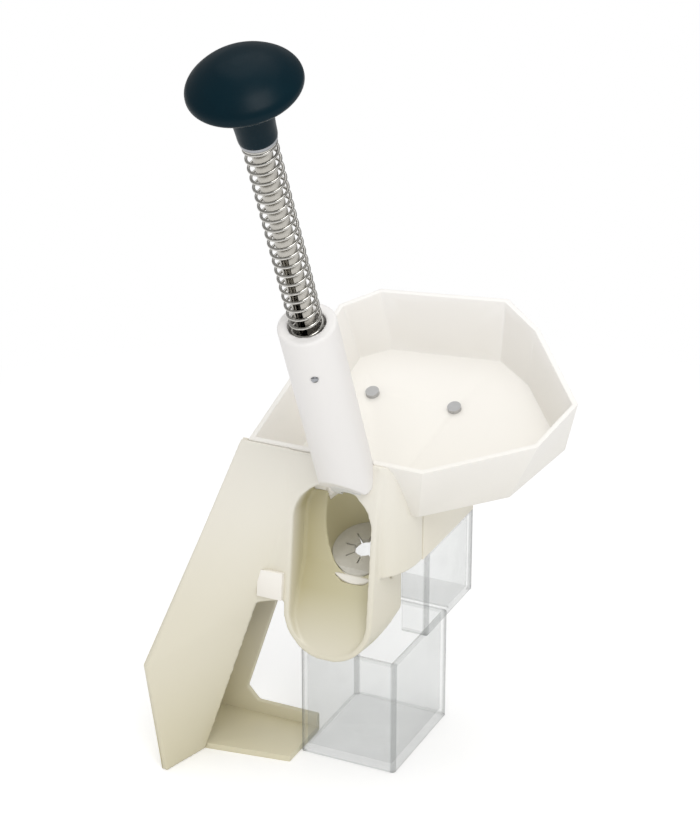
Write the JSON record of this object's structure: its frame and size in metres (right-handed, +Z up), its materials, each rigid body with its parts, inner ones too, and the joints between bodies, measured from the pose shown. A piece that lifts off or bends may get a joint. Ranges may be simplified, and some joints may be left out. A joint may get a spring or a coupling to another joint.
{
  "type": "cherry pitter",
  "caption": "Counter-top cherry pitter with a leaning hopper, a spring-loaded push plunger and knob, an open fruit chute in front and a clear pit container below.",
  "frame": {"origin": "on the surface the pitter stands on, at the centre of the pit container's underside, under the foot of the plunger axis", "axes": "+Z up, +X to the right and -Y towards the user, seen from the open chute; the plunger leans 24 degrees from +Z towards -Y"},
  "size_m": [0.1436, 0.1838, 0.3074],
  "materials": {
    "stand_plastic": "satin",
    "hopper_plastic": "satin",
    "tube_plastic": "satin",
    "bush_plastic": "matte",
    "knob_plastic": "gloss",
    "rod_steel": "polished",
    "spring_steel": "polished",
    "blade_steel": "satin",
    "pin_steel": "satin",
    "insert_brass": "machined",
    "screw_steel": "satin",
    "seat_rubber": "soft",
    "pad_rubber": "soft",
    "clear_plastic": "gloss"
  },
  "bodies": {
    "frame": {"front_panel": "stand_plastic", "panel_bar": "stand_plastic", "rear_panel": "stand_plastic", "leg_side_wall": "stand_plastic", "foot_plate": "stand_plastic", "anti_slip_pads": "pad_rubber", "pitting_head": "stand_plastic", "pitting_chamber": "stand_plastic", "chamber_housing": "stand_plastic", "seat_ring": "seat_rubber", "seat_retainer": "hopper_plastic", "retainer_screws": "screw_steel", "hopper": "hopper_plastic", "hopper_screws": "screw_steel", "guide_tube": "tube_plastic", "upper_bush": "bush_plastic", "stripper_bush": "bush_plastic", "stop_pin": "pin_steel", "spring_washer": "pin_steel", "return_spring": "spring_steel", "splash_guard": "clear_plastic"},
    "plunger": {"plunger_rod": "rod_steel", "pit_blade": "blade_steel", "spring_cap": "pin_steel", "knob_insert": "insert_brass", "knob": "knob_plastic"},
    "container": {"pit_container": "clear_plastic"}
  },
  "joints": [
    {"name": "plunger_slide", "type": "slide", "parent": "frame", "child": "plunger", "axis": [0, 0.4067, -0.9135], "range_m": [0, 0.05], "stiffness_N_per_m": 350, "springref_m": -0.02, "deforming": ["return_spring"]},
    {"name": "container_slide", "type": "slide", "parent": "frame", "child": "container", "axis": [0, -1, 0], "range_m": [0, 0.055]}
  ]
}
